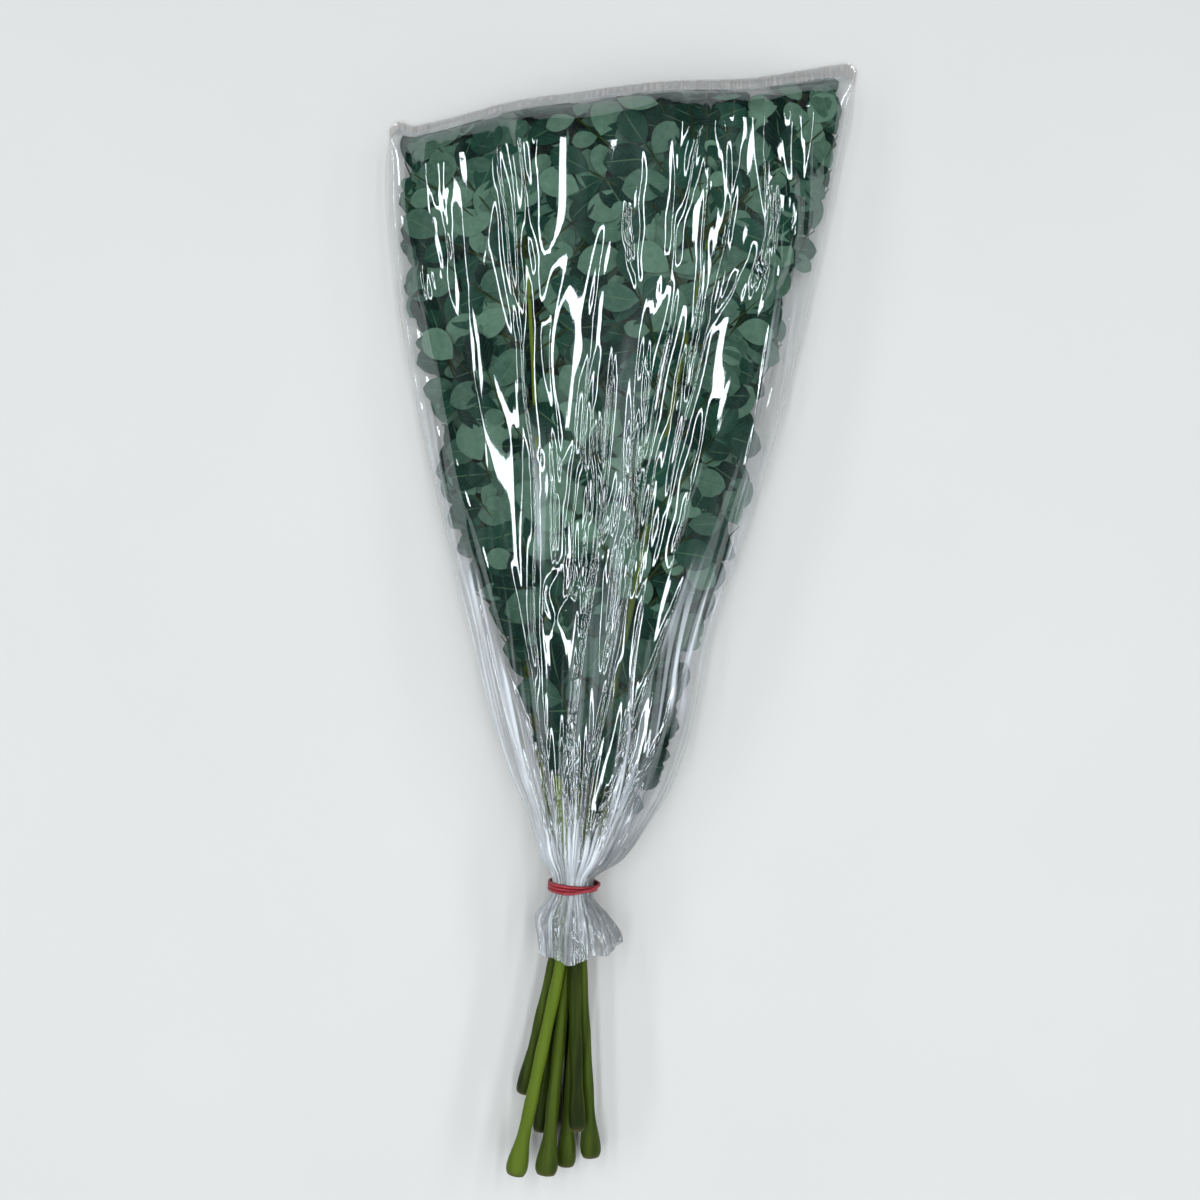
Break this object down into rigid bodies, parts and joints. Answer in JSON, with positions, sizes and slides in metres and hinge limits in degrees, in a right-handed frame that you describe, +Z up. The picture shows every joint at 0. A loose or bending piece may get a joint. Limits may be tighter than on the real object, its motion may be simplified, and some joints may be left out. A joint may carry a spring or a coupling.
{
  "type": "moringa leaf bunch",
  "caption": "Leafy green fronds gathered in a clear film bag that is pulled over their leaves and held round their stems by a red rubber band, lying flat.",
  "frame": {"origin": "on the surface that the bunch lies on, under the middle of its length and width", "axes": "+Y along the bunch from the cut stems to the leaf tips, +Z up, +X across it to the right"},
  "size_m": [0.255, 0.6202, 0.0611],
  "materials": {
    "clear_film": "clear, thin, glossy and wrinkled film",
    "red_rubber": "satin rubber band",
    "leaf_green": "matt living leaves and smooth green stems"
  },
  "bodies": {
    "root": {"bag": "clear_film", "rubber_band": "red_rubber", "frond_under_left": "leaf_green", "frond_under_right": "leaf_green", "frond_middle_left": "leaf_green", "frond_middle_centre": "leaf_green", "frond_middle_right": "leaf_green", "frond_top_left": "leaf_green", "frond_top_right": "leaf_green"}
  },
  "joints": []
}
